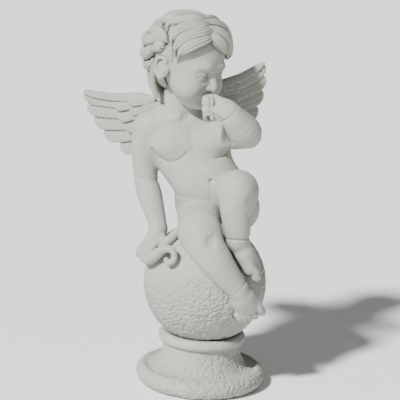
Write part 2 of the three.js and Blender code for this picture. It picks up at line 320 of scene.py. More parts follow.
def carve_torso(block):
    block.add(upright_loft([
        [330, 2, 32, 46, 44], [356, 2, 28, 64, 55], [382, 1, 22, 73, 61], [410, 1, 14, 76, 62],
        [432, -7, 8, 82, 60], [454, -20, 6, 86, 57], [480, -36, 6, 82, 54], [506, -41, 8, 80, 51],
        [530, -46, 10, 78, 46], [552, -56, 12, 64, 40], [575, -68, 14, 44, 33], [592, -72, 14, 32, 28]]))
    block.add(ellipsoid([-4, -14, 434], [62, 48, 58]), 26)  # belly
    block.add(ellipsoid([-26, 46, 376], [42, 42, 42]), 16)  # seat
    block.add(ellipsoid([38, 46, 380], [46, 44, 44]), 16)
    block.add(limb([[-128, 14, 541, 34], [-72, 17, 560, 37], [4, 10, 549, 34]]), 22)  # shoulder girdle
    block.add(limb([[-75, 15, 566, 39], [-73, 6, 600, 36], [-66, -2, 640, 37]]), 24)  # neck
    block.add(ellipsoid([-86, -12, 512], [42, 34, 32]), 12)  # breast, right and left
    block.add(ellipsoid([0, -12, 524], [40, 34, 31]), 12)
    block.add(ellipsoid([-96, 44, 532], [30, 22, 34]), 16)  # shoulder blades
    block.add(ellipsoid([-10, 44, 536], [30, 22, 34]), 16)


def crease_torso(block):
    block.raise_by(curtain([[-122, 503], [-106, 488], [-86, 480], [-64, 489], [-50, 503]]), -3.2, 4)
    block.raise_by(curtain([[-40, 512], [-22, 497], [2, 491], [26, 500], [36, 514]]), -2.6, 4.5)
    block.raise_by(curtain([[-44, 560], [-43, 530], [-41, 505]]), -1.6, 7)  # breastbone
    block.raise_by(curtain([[-40, 500], [-22, 470], [0, 440]]), -1.0, 8)  # middle of the belly
    block.raise_by(ellipsoid([1, -62, 450], [2, 16, 2]), -7, 3.4)  # navel
    block.raise_by(curtain([[-84, 418], [-62, 410], [-30, 414], [6, 410]]), -1.4, 6)  # fold over the lap
    block.raise_by(curtain([[-70, 574], [-100, 566], [-128, 560]]), 2.2, 6)  # collar bones
    block.raise_by(curtain([[-44, 572], [-14, 568], [14, 562]]), 2.2, 6)
    block.raise_by(ellipsoid([-57, -26, 573], [5, 20, 5]), -3.5, 8)  # notch between them
    block.raise_by(curtain([[-54, 560], [-30, 480], [-4, 415]], front=False), -2.5, 8)  # spine
    block.raise_by(curtain([[1, 405], [2, 380], [2, 345]], front=False), -9, 7)  # between the seat's halves


def carve_legs(block):
    block.add(limb([[-16, 20, 372, 51], [-15, -45, 360, 48], [-15, -98, 352, 45]]), 3)
    block.add(limb([[-15, -100, 350, 44], [-4, -120, 331, 39], [17, -130, 304, 34.5], [43, -128, 271, 28],
                    [66, -120, 243, 22.5]], 9), 8)
    block.add(ellipsoid([-17, -126, 346], [27, 24, 27]), 16)  # kneecap
    block.add(limb([[36, 24, 388, 54], [50, -40, 420, 48], [56, -96, 441, 43]]), 3)
    block.add(limb([[56, -106, 433, 40], [54, -110, 400, 31], [58, -107, 368, 28], [61, -103, 342, 24.5]],
        8), 5)
    block.add(ellipsoid([56, -124, 444], [26, 24, 27]), 14)
    block.add(ellipsoid([75, -80, 402], [28, 32, 42]), 3)  # calf against thigh


def crease_legs(block):
    for x, y, z in [(-40, -138, 340), (6, -140, 342)]:
        block.raise_by(ellipsoid([x, y, z], [4, 14, 9]), -5.0, 8)  # beside the kneecap
    for x, y, z in [(36, -134, 430), (78, -130, 430)]:
        block.raise_by(ellipsoid([x, y, z], [4, 12, 8]), -2.2, 7)
    block.raise_by(ring([63, -121, 247], [0.46, 0.16, -0.5], 34), -3.4, 2.4)  # ankle folds
    block.raise_by(ring([61, -103, 346], [0.08, 0.0, -1], 34), -3.0, 2.4)


def carve_arms(block):
    block.add(limb([[-130, 12, 540, 37], [-138, 14, 492, 29.5], [-135, 14, 436, 25], [-124, 4, 398, 25.5],
                    [-109, -12, 358, 20], [-103, -22, 334, 18.5]], 8), 12)
    block.add(limb([[8, 8, 546, 35], [44, -28, 541, 28], [72, -62, 549, 25]]), 12)
    block.add(limb([[70, -66, 551, 27], [63, -86, 562, 33], [44, -103, 585, 27], [31, -110, 599, 20.5]]), 6)
    block.raise_by(ring([-133, 14, 434], [0.15, 0.1, 1], 34), -1.6, 3)  # elbow fold
    block.raise_by(ring([30, -110, 601], [-0.62, -0.16, 0.6], 30), -3.4, 2.4)  # wrist fold


# ---------------------------------------------------------------- hands and feet

def carve_foot(block, heel, toes, up, big_toe):
    """A bare foot from heel to the roots of its toes. big_toe is +1 or -1 along forwards x up."""
    heel, toes = np.array(heel, float), np.array(toes, float)
    forward = unit(toes - heel)
    across = unit(np.cross(forward, up))
    rise = np.cross(across, forward)

    def at(share, aside, lift):
        return heel + (toes - heel) * share + across * aside + rise * lift

    block.add(limb([[*at(-0.12, 0, 1), 21], [*at(0.25, 0, 2), 20.5], [*at(0.6, 0, 1), 19.5]]), 6)
    for aside, radius in ((15, 14), (0, 13.5), (-16, 12)):
        block.add(limb([[*at(0.45, aside * big_toe * 0.6, 1), 17], [*at(1.0, aside * big_toe, -2),
            radius]]), 8)
    for aside, radius, reach in ((18, 9.6, 27), (2.5, 7.2, 28), (-9, 6.8, 25), (-19, 6.4, 21), (-28, 6.0,
        16)):
        root = at(0.92, aside * big_toe, 1)
        knuckle = root + forward * reach * 0.55 + rise * 3
        tip = root + forward * reach + rise * -1
        block.add(limb([[*root, radius * 1.1], [*knuckle, radius * 0.95], [*tip, radius]]), 1.0)
        nail = Placed(tip + rise * radius * 0.62 + forward * radius * 0.3,
                      np.stack([across, unit(forward + rise * -0.25), unit(rise + forward * 0.25)], 1))
        block.add(nail(ellipsoid([0, 0, 0], [radius * 0.6, radius * 0.66, radius * 0.42])), 0.6)


def carve_feet(block):
    carve_foot(block, [67, -121, 240], [93, -103, 197], [0.28, -0.92, -0.1], -1)
    carve_foot(block, [62, -101, 332], [93, -88, 288], [0.85, -0.3, 0.45], 1)


def finger(block, joints, blend=1.2):
    block.add(limb(joints, 3), blend)


def carve_right_hand(block):
    block.add(limb([[-103, -22, 336, 18], [-107, -27, 322, 19.5], [-112, -30, 311, 19]]), 6)
    block.add(limb([[-104, -36, 320, 12], [-110, -46, 306, 11]]), 8)
    block.add(limb([[-112, -12, 316, 12], [-119, -14, 304, 11]]), 8)
    for i in range(4):
        finger(block, [[-102 - i * 7.5, -48 + i * 6, 316 - i * 2, 7.4], [-111 - i * 8, -56 + i * 7,
            303 - i, 7.2],
                       [-120 - i * 7, -59 + i * 8, 288, 6.8], [-123 - i * 6, -57 + i * 8, 277 + i, 6.2]], 0.8)
    finger(block, [[-97, -34, 325, 10], [-90, -50, 314, 9], [-92, -63, 305, 8], [-97, -72, 301, 7]], 3)
    for i in range(4):  # dimples over the knuckles
        block.raise_by(ellipsoid([-104 - i * 7.5, -54 + i * 6, 319 - i * 2], [2, 2, 2]), -1.8, 3)


def carve_left_hand(block):
    block.add(limb([[33, -110, 602, 20], [25, -108, 608, 19.5], [15, -104, 612, 14]]), 6)
    finger(block, [[20, -106, 616, 12], [8, -101, 623, 9.4], [-4, -95, 627, 8], [-15, -89, 626, 6.6]], 5)
    finger(block, [[28, -114, 596, 9.5], [16, -116, 599, 8.6], [6, -113, 604, 8], [0, -104, 608, 7]], 2)
    finger(block, [[28, -104, 590, 8.6], [16, -107, 590, 8], [6, -104, 595, 7.4], [2, -97, 600, 6.6]], 1.5)
    finger(block, [[26, -95, 590, 8], [16, -97, 588, 7.4], [7, -95, 592, 6.8]], 1.5)


# ---------------------------------------------------------------- bow

def carve_bow(block):
    lower = [[-131, -50, 280, 9], [-118, -64, 281, 12.5], [-101, -80, 297, 11.5], [-87, -90, 309, 8.8],
             [-74, -97, 312, 7.4], [-66, -102, 304, 6.8], [-67, -105, 291, 6.6], [-76, -104, 285, 6.2],
             [-82, -101, 291, 5.2]]
    block.add(limb(lower, 5), 2)
    edge = [[x - 2, y - radius * 0.8, z + radius * 0.35, 2.2] for x, y, z, radius in lower[1:6]]
    block.add(limb(edge, 5), 5)  # the arris along the limb
    upper = [[-92, -58, 306, 8.5], [-77, -54, 322, 9.5], [-62, -44, 337, 9], [-50, -30, 348, 8]]
    block.add(limb(upper, 5), 2)


# ---------------------------------------------------------------- head

HEAD_CENTRE = [-57, -14, 697]
HEAD_YAW = math.radians(50)  # towards the figure's left
HEAD_NOD = math.radians(15)  # forwards
SKULL = np.array([64.0, 74.0, 70.0])  # half sizes: across, front to back, up
SKULL_CENTRE = np.array([0.0, 0.0, 6.0])
HAIR_THICKNESS = 13.0


def head_frame():
    """Local axes of the head: x to the figure's right, y forwards, z up."""
    level = Vector((math.sin(HEAD_YAW), -math.cos(HEAD_YAW), 0))
    right = level.cross(Vector((0, 0, 1)))
    forward = Matrix.Rotation(-HEAD_NOD, 3, right) @ level
    up = right.cross(forward)
    return Placed(HEAD_CENTRE, np.array([right, forward, up]).T)


def carve_face(block, head):
    def add(shape, blend):
        block.add(head(shape), blend)

    add(ellipsoid(SKULL_CENTRE, SKULL), 0)
    add(ellipsoid([0, 24, -30], [54, 50, 56]), 18)  # lower face
    for side in (-1, 1):
        add(ellipsoid([side * 31, 42, -46], [27, 30, 27]), 16)  # cheek
        block.cut(head(ellipsoid([side * 25, 80, -16], [17, 13, 10.5])), 9)  # socket
    add(ellipsoid([0, 50, -76], [24, 24, 16]), 16)  # chin
    add(ellipsoid([0, 34, -78], [30, 26, 14]), 14)  # under the chin
    for side in (-1, 1):
        eye = [side * 24.5, 58.5, -17]
        add(ellipsoid(eye, [13, 12.5, 11.5]), 2)
        lid_high = Placed([eye[0], eye[1] + 1.6, eye[2] + 0.6], np.eye(3))
        block.add(head(half_shell(lid_high, [14.8, 13.7, 12.7], edge=3.4, tilt=side * 0.10, above=True)), 1.0)
        lid_low = Placed([eye[0], eye[1] + 1.2, eye[2] - 0.4], np.eye(3))
        block.add(head(half_shell(lid_low, [14.4, 13.2, 12.3], edge=-6.4, tilt=side * 0.06, above=False)),
            1.0)
        block.raise_by(head(torus([eye[0] + side * -0.5, eye[1] + 11.6, eye[2] - 2.5], 4.6)), -1.2, 1.0)
        block.raise_by(head(ellipsoid([eye[0] - side * 0.5, eye[1] + 12, eye[2] - 2.2], [1, 2, 1])), -2.2,
            1.4)
        add(limb([[side * 10, 71, 1, 3.6], [side * 23, 71, 6, 4], [side * 39, 60, 1, 3]]), 14)  # brow
    for side in (-1, 1):
        for height, bow, depth in ((-14.5, 5.5, -1.9), (-21.5, -2.0, -1.5), (-8.5, 5.0, -1.3)):
            line = [[side * 13, 66, -19 + (height + 18) * 0.25, 0.5], [side * 19, 72, height + bow * 0.2,
                0.5],
                    [side * 25, 73, height + bow * 0.35, 0.5], [side * 31, 71, height + bow * 0.15, 0.5],
                    [side * 37, 65, -19 + (height + 18) * 0.25, 0.5]]
            block.raise_by(head(limb(line)), depth, 1.3)  # edges of the lids and the fold over the eye
    nose = [[0, 70, -4, 6], [0, 75, -18, 6.2], [0, 82, -32, 7.4], [0, 83, -37, 7.4]]
    add(limb(nose), 8)
    for side in (-1, 1):
        add(ellipsoid([side * 8.6, 74.5, -38.5], [5.0, 7, 5.0]), 3)
        block.cut(head(ellipsoid([side * 5.0, 80, -46], [2.8, 4, 2.8])), 1.0)
    block.raise_by(head(limb([[0, 76, -47, 1], [0, 76, -53, 1]])), -1.4, 2.2)  # groove under the nose
    add(ellipsoid([0, 68, -57], [17, 10, 8]), 8)
    for side in (-1, 1):
        add(limb([[side * 1.5, 75.5, -55.5, 3.6], [side * 8, 73.5, -56, 3.2], [side * 15.5, 67.5, -58.5,
            1.6]]), 2.2)
    add(limb([[-12, 69.5, -61.5, 2.4], [-5, 73.5, -63.6, 4.0], [5, 73.5, -63.6, 4.0], [12, 69.5, -61.5,
        2.4]]), 2.4)
    block.raise_by(head(limb([[-16.5, 68, -58.6, 0.4], [-7, 76, -59.4, 0.4], [0, 78, -59.0, 0.4], [7, 76,
        -59.4, 0.4],
                              [16.5, 68, -58.6, 0.4]])), -2.6, 1.5)  # mouth line
    block.raise_by(head(ellipsoid([0, 74, -70], [8, 3, 1])), -1.6, 3.5)  # under the lower lip


def half_shell(place, radii, edge, tilt, above):
    """An eyelid: an ellipsoid kept only on one side of a slanting edge."""
    whole = place(ellipsoid([0, 0, 0], radii))
    way = -1 if above else 1

    def distance(x, y, z):
        level = place.centre[2] + edge + tilt * (x - place.centre[0]) + 0.02 * (x - place.centre[0]) ** 2 * way
        side = way * (z - level)
        return -smooth_least(-whole.distance(x, y, z), -side, 0.8)

    return Shape(whole.low, whole.high, distance)


def torus(centre, radius):
    """Distance to a circle that faces forwards."""
    centre = np.array(centre, float)

    def distance(x, y, z):
        x, y, z = x - centre[0], y - centre[1], z - centre[2]
        return np.sqrt((np.sqrt(x * x + z * z) - radius) ** 2 + y * y)

    return Shape(centre - radius, centre + radius, distance)


def carve_ears(block, head):
    for side in (-1, 1):
        lean = Placed([side * 66, -4, -21], np.array([[1, 0, 0], [side * 0.32, 0.95, 0.1], [0, -0.1, 1]]).T)
        block.add(head(lean(ellipsoid([0, 0, 0], [7, 13.5, 20.5]))), 4)
        rim = [[side * 5, 10, 14, 3.2], [side * 7, 2, 21, 3.6], [side * 8, -10, 15, 3.8], [side * 7, -13,
            0, 3.5],
               [side * 5, -8, -14, 4.4], [side * 3, 1, -20, 5.2]]
        block.cut(head(lean(ellipsoid([side * 8, 0, 1], [5.5, 8, 12.5]))), 3)
        block.add(head(lean(limb(rim))), 1.5)
        block.add(head(lean(ellipsoid([side * 4, 7, -5], [3.4, 3.4, 5]))), 2)


def on_hair(bearing, height, lift=0.0):
    """A point on the hair, by its bearing round the head (0 ahead, 90 to the right) and height angle."""
    b, h = math.radians(bearing), math.radians(height)
    size = SKULL + HAIR_THICKNESS + lift
    way = np.array([math.sin(b) * math.cos(h), math.cos(b) * math.cos(h), math.sin(h)])
    return SKULL_CENTRE + np.array([0, -6, 4]) + size * way


def lock(spine, width, thickness, strands, groove=2.0, turn=0.0):
    """A lock of hair along a spine of head points: a flat tapering band with strands cut along it."""
    run = curve_through(spine, 4)
    last = len(run) - 1
    share = np.arange(last + 1) / last
    swell = (0.62 + 0.55 * np.sin(math.pi * np.minimum(share * 1.25,
        1)) ** 0.8) * np.clip((1.04 - share) / 0.42, 0.12, 1)
    wide = width * np.minimum(swell, 1.15)
    thick = thickness * (0.7 + 0.3 * np.sin(math.pi * share)) * np.clip((1.08 - share) / 0.3, 0.35, 1)
    middle = SKULL_CENTRE + np.array([0, -4, 0])
    low = run.min(0) - width - 2
    high = run.max(0) + width + 2

    def distance(x, y, z):
        best = None
        for i in range(last):
            start, end = run[i], run[i + 1]
            along = end - start
            length = float(np.linalg.norm(along))
            ahead = along / length
            out = (start + end) / 2 - middle
            out = unit(out - ahead * (out @ ahead))
            side = np.cross(ahead, out)
            angle = turn * (i + 0.5) / last
            out, side = out * math.cos(angle) + side * math.sin(angle), side * math.cos(angle) - out * math.sin(angle)
            px, py, pz = x - start[0], y - start[1], z - start[2]
            on = (px * ahead[0] + py * ahead[1] + pz * ahead[2]) / length
            t = np.clip(on, 0, 1)
            over = (on - t) * length
            a = (px * side[0] + py * side[1] + pz * side[2]) / (wide[i] + (wide[i + 1] - wide[i]) * t)
            r = (px * out[0] + py * out[1] + pz * out[2]) / (thick[i] + (thick[i + 1] - thick[i]) * t)
            o = over / wide[i]
            size = np.sqrt(a * a + r * r + o * o)
            d = (size - 1) * min(wide[i], thick[i])
            d = d + groove * (0.5 + 0.5 * np.cos(math.pi * strands * a)) * (np.abs(a) < 1.3)
            best = d if best is None else np.minimum(best, d)
        return best

    return Shape(low, high, distance)


HAIR = [  # each lock: half width, thickness, strands, then the bearing, height and lift of the points it runs through
    # the fringe, swept from the parting to the right temple
    (13, 11, 5, [(14, 44, -3), (34, 36, 0), (52, 24, 2), (64, 11, 1), (67, -6, -2)]),
    (13, 12, 5, [(10, 54, -2), (40, 45, 1), (63, 32, 3), (72, 16, 2), (70, 2, 0)]),
    (14, 11, 6, [(4, 66, -2), (45, 58, 0), (74, 44, 1), (84, 26, 2), (78, 10, 1)]),
    (13, 10, 5, [(-20, 76, -3), (60, 72, -2), (96, 58, -3), (112, 42, -1), (98, 24, 2)]),
    (13, 11, 5, [(-70, 72, -3), (-150, 84, -4), (136, 66, -4), (124, 48, 0), (136, 34, 1), (118, 26, 4)]),
    # the fringe to the left of the parting
    (12, 10, 5, [(12, 46, -3), (2, 38, 0), (-10, 27, 1), (-20, 14, 0)]),
    (14, 11, 5, [(6, 56, -2), (-16, 48, 1), (-32, 34, 4), (-40, 18, 4), (-38, 6, 2)]),
    (14, 12, 5, [(0, 68, -2), (-36, 60, 2), (-54, 44, 6), (-58, 24, 7), (-50, 8, 5), (-42, 2, 2)]),
    (14, 12, 5, [(-50, 72, -2), (-76, 56, 3), (-80, 36, 6), (-74, 16, 6), (-64, 0, 3)]),
    # curls at the right side and back of the head
    (12, 11, 4, [(150, 30, 2), (132, 22, 4), (110, 22, 5), (94, 19, 3), (86, 17, -1)]),
    (12, 12, 4, [(160, 10, 4), (144, 2, 9), (126, 4, 9), (110, 12, 5), (96, 15, 1)]),
    (12, 12, 4, [(156, -8, 5), (142, -16, 9), (124, -14, 9), (112, -2, 5), (106, 6, 2)]),
    (12, 11, 4, [(150, -24, 4), (134, -32, 8), (118, -28, 7), (106, -14, 3)]),
    (11, 11, 4, [(150, -38, 2), (134, -46, 6), (120, -44, 7), (110, -32, 4)]),
    (10, 10, 4, [(110, -20, 2), (112, -38, 3), (116, -54, 3), (122, -66, 2)]),
    (10, 9, 3, [(100, -26, 0), (100, -44, 1), (104, -60, 2), (98, -72, 3)]),
    (10, 9, 4, [(128, -36, 2), (124, -52, 3), (128, -66, 4), (120, -78, 5)]),
    (13, 9, 5, [(128, 30, 1), (112, 20, 0), (102, 10, -1), (108, 0, 0), (116, -8, 1)]),
    (9, 6, 4, [(84, 20, -3), (81, 8, -5), (78, -3, -7), (76, -12, -9)]),
]


def hair_behind():
    """Locks round the back of the head, out of three rows that turn alternate ways."""
    locks = []
    for i in range(6):  # the crown, falling back
        bearing = 150 + i * 24
        way = 1 if i % 2 else -1
        locks.append((14, 10, 5, [(bearing, 80, -5), (bearing + 6 * way, 62, -4), (bearing - 6 * way, 42, -1),
                                  (bearing + 10 * way, 24, 2)]))
    for i in range(7):
        bearing = 160 + i * 20
        way = -1 if i % 2 else 1
        locks.append((13, 11, 4, [(bearing, 30, 1), (bearing + 12 * way, 14, 5), (bearing + 6 * way, -4, 6),
                                  (bearing - 8 * way, -8, 3)]))
    for i in range(7):
        bearing = 150 + i * 20
        way = 1 if i % 2 else -1
        locks.append((12, 10, 4, [(bearing, -6, 2), (bearing + 9 * way, -20, 5), (bearing + 3 * way, -36, 4),
                                  (bearing - 9 * way, -42, 2)]))
    for i in range(7):
        bearing = 138 + i * 18
        way = -1 if i % 2 else 1
        locks.append((11, 9, 4, [(bearing, -32, 1), (bearing + 7 * way, -46, 3), (bearing - 3 * way, -60, 3),
                                 (bearing + 9 * way, -70, 3)]))
    locks.append((12, 10, 4, [(-84, 26, 2), (-92, 8, 5), (-88, -10, 5), (-80, -20, 3)]))
    locks.append((11, 10, 4, [(-88, -8, 2), (-98, -26, 4), (-100, -44, 3), (-92, -54, 2)]))
    return locks


NAPE = [  # half width, then points in the head's own axes: strands that hang on the neck
    (13, [(30, -64, -26), (25, -62, -58), (17, -47, -87), (9, -24, -107)]),
    (12, [(50, -50, -28), (44, -48, -60), (36, -34, -86), (30, -14, -103)]),
    (9, [(64, -30, -42), (57, -29, -64), (50, -20, -84), (45, -6, -97)]),
    (13, [(2, -74, -34), (-4, -65, -66), (-8, -47, -90), (-6, -30, -104)]),
    (12, [(-28, -66, -32), (-34, -54, -64), (-30, -40, -90), (-24, -28, -100)]),
    (11, [(-50, -48, -34), (-52, -42, -60), (-46, -28, -82), (-42, -16, -90)]),
]


def carve_hair(block, head):
    block.add(head(ellipsoid(SKULL_CENTRE + np.array([0, -9, 4]), SKULL + HAIR_THICKNESS * 0.45)), 2)
    block.add(head(ellipsoid([0, -40, -30], [50, 34, 40])), 10)  # nape
    for number, (width, thickness, strands, points) in enumerate(HAIR + hair_behind()):
        spine = [on_hair(bearing, height, lift - thickness * 0.35) for bearing, height,
            lift in unwound(points)]
        twist = 0.35 * math.sin(number * 1.7)
        block.add(head(lock(spine, width, thickness, strands, turn=twist)), 0.8)


def finish_nape(block, head):
    for number, (width, points) in enumerate(NAPE):
        block.add(head(lock(np.array(points, float), width, width * 0.75, 4, turn=0.5 * (-1) ** number)), 0.8)


def unwound(points):
    """Bearings made to run on without a jump of a full turn."""
    run = [points[0]]
    for bearing, height, lift in points[1:]:
        while bearing - run[-1][0] > 180:
            bearing -= 360
        while bearing - run[-1][0] < -180:
            bearing += 360
        run.append((bearing, height, lift))
    return run


# ---------------------------------------------------------------- from the block to a mesh

def mesh_from(block, name, faces):
    """The block's surface as a smooth mesh of about so many triangles, with a painted-shade mask over its hollows and
    creases.
    """
    grid = openvdb.FloatGrid(FAR)
    grid.copyFromArray(np.ascontiguousarray(block.field))
    grid.gridClass = openvdb.GridClass.LEVEL_SET
    points, triangles, quads = grid.convertToPolygons(isovalue=0.0, adaptivity=0.0)
    points = points * block.step + block.low
    mesh = bpy.data.meshes.new(name)
    fill_mesh(mesh, points * MM, quads, triangles)
    raw = bpy.data.objects.new(name + "_raw", mesh)
    bpy.context.collection.objects.link(raw)
    thin = raw.modifiers.new("Thin", "DECIMATE")
    thin.ratio = min(1.0, faces / (2 * len(quads) + len(triangles)))
    thin.use_collapse_triangulate = True
    done = bpy.data.meshes.new_from_object(raw.evaluated_get(bpy.context.evaluated_depsgraph_get()))
    done.name = name
    bpy.data.objects.remove(raw)
    bpy.data.meshes.remove(mesh)
    drop_crumbs(done)
    points = np.empty(len(done.vertices) * 3, np.float32)
    done.vertices.foreach_get("co", points)
    points = points.reshape(-1, 3) / MM
    slopes = np.stack([block.value(points + step) - block.value(points - step)
                       for step in np.eye(3) * block.step], 1)
    slopes /= np.maximum(np.linalg.norm(slopes, axis=1, keepdims=True), 1e-6)
    if face_sign(done, slopes) < 0:
        done.flip_normals()
    done.polygons.foreach_set("use_smooth", np.ones(len(done.polygons), bool))
    done.normals_split_custom_set_from_vertices(slopes)
    # Occlusion measure: the more closed in a point is, the more painted shade it gets from the stone material.
    hollow = np.zeros(len(points))
    for reach in (2.5, 5.0, 9.0):
        hollow += np.clip(1 - block.value(points + slopes * reach) / reach, 0, 1)
    mark = done.attributes.new("hollow", "FLOAT", "POINT")
    mark.data.foreach_set("value", (hollow / 3).astype(np.float32))
    return done


def fill_mesh(mesh, points, quads, triangles):
    loops = np.concatenate([quads.ravel(), triangles.ravel()]).astype(np.int32)
    starts = np.concatenate([np.arange(len(quads)) * 4, len(quads) * 4 + np.arange(len(triangles)) * 3])
    mesh.vertices.add(len(points))
    mesh.vertices.foreach_set("co", points.astype(np.float32).ravel())
    mesh.loops.add(len(loops))
    mesh.loops.foreach_set("vertex_index", loops)
    mesh.polygons.add(len(starts))
    mesh.polygons.foreach_set("loop_start", starts.astype(np.int32))
    mesh.update(calc_edges=True)
    mesh.validate()


def drop_crumbs(mesh):
    """Removes every loose shell but the largest."""
    edges = np.empty(len(mesh.edges) * 2, np.int32)
    mesh.edges.foreach_get("vertices", edges)
    edges = edges.reshape(-1, 2)
    label = np.arange(len(mesh.vertices))
    while True:
        least = np.minimum(label[edges[:, 0]], label[edges[:, 1]])
        fresh = label.copy()
        np.minimum.at(fresh, edges[:, 0], least)
        np.minimum.at(fresh, edges[:, 1], least)
        fresh = fresh[fresh]
        if (fresh == label).all():
            break
        label = fresh
    names, counts = np.unique(label, return_counts=True)
    if len(names) == 1:
        return
    body = bmesh.new()
    body.from_mesh(mesh)
    body.verts.ensure_lookup_table()
    keep = names[counts.argmax()]
    bmesh.ops.delete(body, geom=[body.verts[i] for i in np.nonzero(label != keep)[0]], context="VERTS")
    body.to_mesh(mesh)
    body.free()


def add_carving(context, block, name, faces):
    """Meshes a block, dresses it in stone and puts it in the scene."""
    mesh = mesh_from(block, name, faces)
    mesh.materials.append(stone_material(settings_of(context), name + " stone", marked=True))
    piece = bpy.data.objects.new(name, mesh)
    context.collection.objects.link(piece)
    finish_piece(piece, FIGURE_NODE)


def face_sign(mesh, slopes):
    """Positive if most faces look the way the distances grow."""
    count = len(mesh.polygons)
    normals = np.empty(count * 3, np.float32)
    mesh.polygons.foreach_get("normal", normals)
    first = np.empty(count, np.int32)
    mesh.polygons.foreach_get("loop_start", first)
    loops = np.empty(len(mesh.loops), np.int32)
    mesh.loops.foreach_get("vertex_index", loops)
    return float((normals.reshape(-1, 3) * slopes[loops[first]]).sum())


# ---------------------------------------------------------------- stone

class Tree:
    """Short words for building a node tree."""

    def __init__(self, tree):
        self.tree = tree
        self.column = 0

    def node(self, kind, inputs=None, **settings):
        made = self.tree.nodes.new(kind)
        made.location = (self.column * 190, 0)
        self.column += 1
        for name, value in settings.items():
            setattr(made, name, value)
        for name, value in (inputs or {}).items():
            socket = made.inputs[name]
            if isinstance(value, bpy.types.NodeSocket):
                self.tree.links.new(value, socket)
            else:
                socket.default_value = value
        return made

    def maths(self, operation, *values, clamp=False):
        made = self.node("ShaderNodeMath", dict(enumerate(values)), operation=operation, use_clamp=clamp)
        return made.outputs[0]

    def vector(self, operation, *values):
        made = self.node("ShaderNodeVectorMath", dict(enumerate(values)), operation=operation)
        return made.outputs[0]


def stone_material(settings, name, marked):
    """Matt pale cast stone: faint clouds, fine grit, pin holes and, on a marked piece, painted shade darkening its
    hollows and creases; on other pieces faint grime stains.
    """
    material = bpy.data.materials.new(name)
    material.use_nodes = True
    nodes = material.node_tree.nodes
    nodes.clear()
    tree = Tree(material.node_tree)
    place = tree.node("ShaderNodeTexCoord").outputs["Object"]

    def noise(scale, detail, rough=0.5):
        made = tree.node("ShaderNodeTexNoise", {"Vector": place, "Scale": scale, "Detail": detail,
            "Roughness": rough})
        return made.outputs["Fac"]

    def mix(share, a, b):
        made = tree.node("ShaderNodeMix", data_type="RGBA")
        for socket, value in (("Factor_Float", share), ("A_Color", a), ("B_Color", b)):
            target = next(s for s in made.inputs if s.identifier == socket)
            if isinstance(value, bpy.types.NodeSocket):
                material.node_tree.links.new(value, target)
            else:
                target.default_value = value
        return next(s for s in made.outputs if s.identifier == "Result_Color")

    def spread(value, low, high, to_low=0.0, to_high=1.0):
        made = tree.node("ShaderNodeMapRange", {"Value": value, "From Min": low, "From Max": high,
                                                "To Min": to_low, "To Max": to_high})
        return made.outputs["Result"]

    clean = (*settings.stone, 1)
    weathered = (*settings.weathered, 1)
    shade_and_grime = (*settings.shade_and_grime, 1)
    clouds = spread(noise(9, 5, 0.6), 0.42, 0.68)
    colour = mix(tree.maths("MULTIPLY", clouds, 0.55), clean, weathered)
    speckle = spread(noise(420, 2), 0.60, 0.74)
    colour = mix(tree.maths("MULTIPLY", speckle, 0.30), colour, weathered)
    stain = spread(noise(26, 4, 0.65), 0.55, 0.75)
    if marked:
        # Painted shade: hollows and creases are darkened towards the dark colour by the occlusion mask, mottled by
        # the stain noise.
        hollow = tree.node("ShaderNodeAttribute", attribute_name="hollow").outputs["Fac"]
        deep = spread(hollow, 0.30, 0.80)
        shade_share = tree.maths("MULTIPLY", deep, tree.maths("ADD", 0.45, tree.maths("MULTIPLY", stain, 0.4)),
            clamp=True)
        colour = mix(shade_share, colour, shade_and_grime)
    else:
        # Faint grime stains from the stain noise.
        colour = mix(tree.maths("MULTIPLY", stain, 0.10), colour, shade_and_grime)
    grit = noise(900, 3, 0.6)
    dents = spread(noise(160, 3, 0.55), 0.35, 0.65)
    relief = tree.maths("ADD", tree.maths("MULTIPLY", grit, 0.5), dents)
    bump = tree.node("ShaderNodeBump", {"Height": relief, "Strength": 0.28, "Distance": 0.0006})
    roughness = spread(noise(60, 3), 0.3, 0.7, 0.78, 0.92)
    shader = tree.node("ShaderNodeBsdfPrincipled", {"Base Color": colour, "Roughness": roughness,
                                                    "Normal": bump.outputs["Normal"]})
    shader.inputs["Specular IOR Level"].default_value = 0.3
    tree.node("ShaderNodeOutputMaterial", {"Surface": shader.outputs["BSDF"]})
    return material


def finish_piece(piece, node):
    """Every piece of the casting rides on the one body; the imported part it stands for is hidden."""
    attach(piece, BODY)
    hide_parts(node)


def settings_of(context):
    return context.scene.putto


# ---------------------------------------------------------------- geometry node trees

class Grower(Tree):
    """A geometry node group with named inputs."""

    def __init__(self, name, inputs):
        group = bpy.data.node_groups.new(name, "GeometryNodeTree")
        super().__init__(group)
        group.interface.new_socket("Geometry", in_out="INPUT", socket_type="NodeSocketGeometry")
        for label, kind in inputs:
            group.interface.new_socket(label, in_out="INPUT", socket_type=kind)
        group.interface.new_socket("Geometry", in_out="OUTPUT", socket_type="NodeSocketGeometry")
        self.group = group
        self.inputs = group.nodes.new("NodeGroupInput").outputs

    def finish(self, geometry, material):
        real = self.node("GeometryNodeRealizeInstances", {"Geometry": geometry}).outputs[0]
        dressed = self.node("GeometryNodeSetMaterial", {"Geometry": real, "Material": material}).outputs[0]
        self.node("NodeGroupOutput", {"Geometry": dressed})


def grow(name, start_mesh, grower, values):
    """Runs a node group on a mesh and keeps the plain result as a new object."""
    carrier = bpy.data.objects.new(name + "_seed", start_mesh)
    bpy.context.collection.objects.link(carrier)
    modifier = carrier.modifiers.new("Grow", "NODES")
    modifier.node_group = grower.group
    for item in grower.group.interface.items_tree:
        if item.item_type == "SOCKET" and item.in_out == "INPUT" and item.name in values:
            modifier[item.identifier] = values[item.name]
    carrier.data.update()
    mesh = bpy.data.meshes.new_from_object(carrier.evaluated_get(bpy.context.evaluated_depsgraph_get()))
    bpy.data.objects.remove(carrier)
    mesh.name = name
    piece = bpy.data.objects.new(name, mesh)
    bpy.context.collection.objects.link(piece)
    return piece


